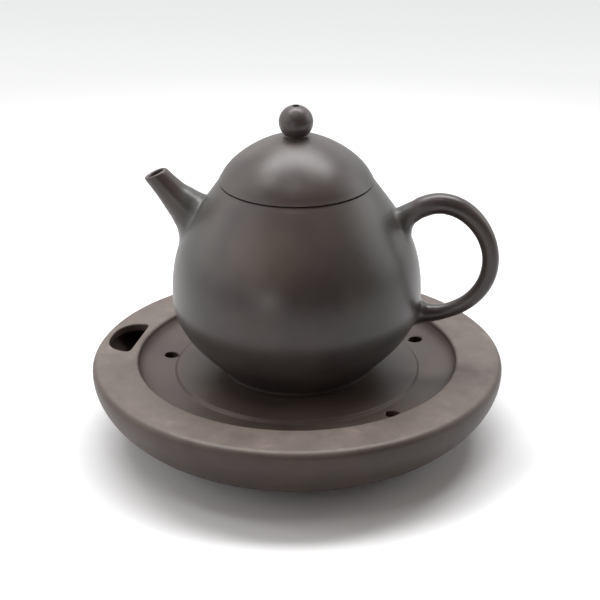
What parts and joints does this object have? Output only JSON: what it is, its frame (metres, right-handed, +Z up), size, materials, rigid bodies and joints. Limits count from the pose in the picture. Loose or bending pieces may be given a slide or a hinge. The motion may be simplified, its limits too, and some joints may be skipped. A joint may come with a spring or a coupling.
{
  "type": "teapot with draining tray",
  "caption": "Unglazed clay teapot with a ball-knob lid that lifts off, standing in the well of a round double-walled draining tray with a pour hole.",
  "frame": {"origin": "middle of the underside of the tray's foot ring, on the surface that the tray stands on", "axes": "+Z up along the common axis of the tray, the pot and the lid; +X along the handle; the spout points along -X"},
  "size_m": [0.15, 0.15, 0.1253],
  "materials": {
    "tray_clay": "satin",
    "pot_clay": "satin"
  },
  "bodies": {
    "tray": {"tray_bowl": "tray_clay", "tray_foot_ring": "tray_clay", "tray_well": "tray_clay", "tray_rim": "tray_clay", "tray_rest": "tray_clay"},
    "pot": {"pot_wall": "pot_clay", "pot_base": "pot_clay", "pot_foot_ring": "pot_clay", "pot_mouth_ring": "pot_clay", "spout": "pot_clay", "spout_strainer": "pot_clay", "handle": "pot_clay"},
    "lid": {"lid_dome": "pot_clay", "lid_plate": "pot_clay", "lid_flange": "pot_clay", "lid_knob": "pot_clay"}
  },
  "joints": [
    {"name": "pot_lift", "type": "slide", "parent": "tray", "child": "pot", "axis": [0, 0, 1], "range_m": [0, 0.06]},
    {"name": "lid_lift", "type": "slide", "parent": "pot", "child": "lid", "axis": [0, 0, 1], "range_m": [0, 0.05]}
  ]
}
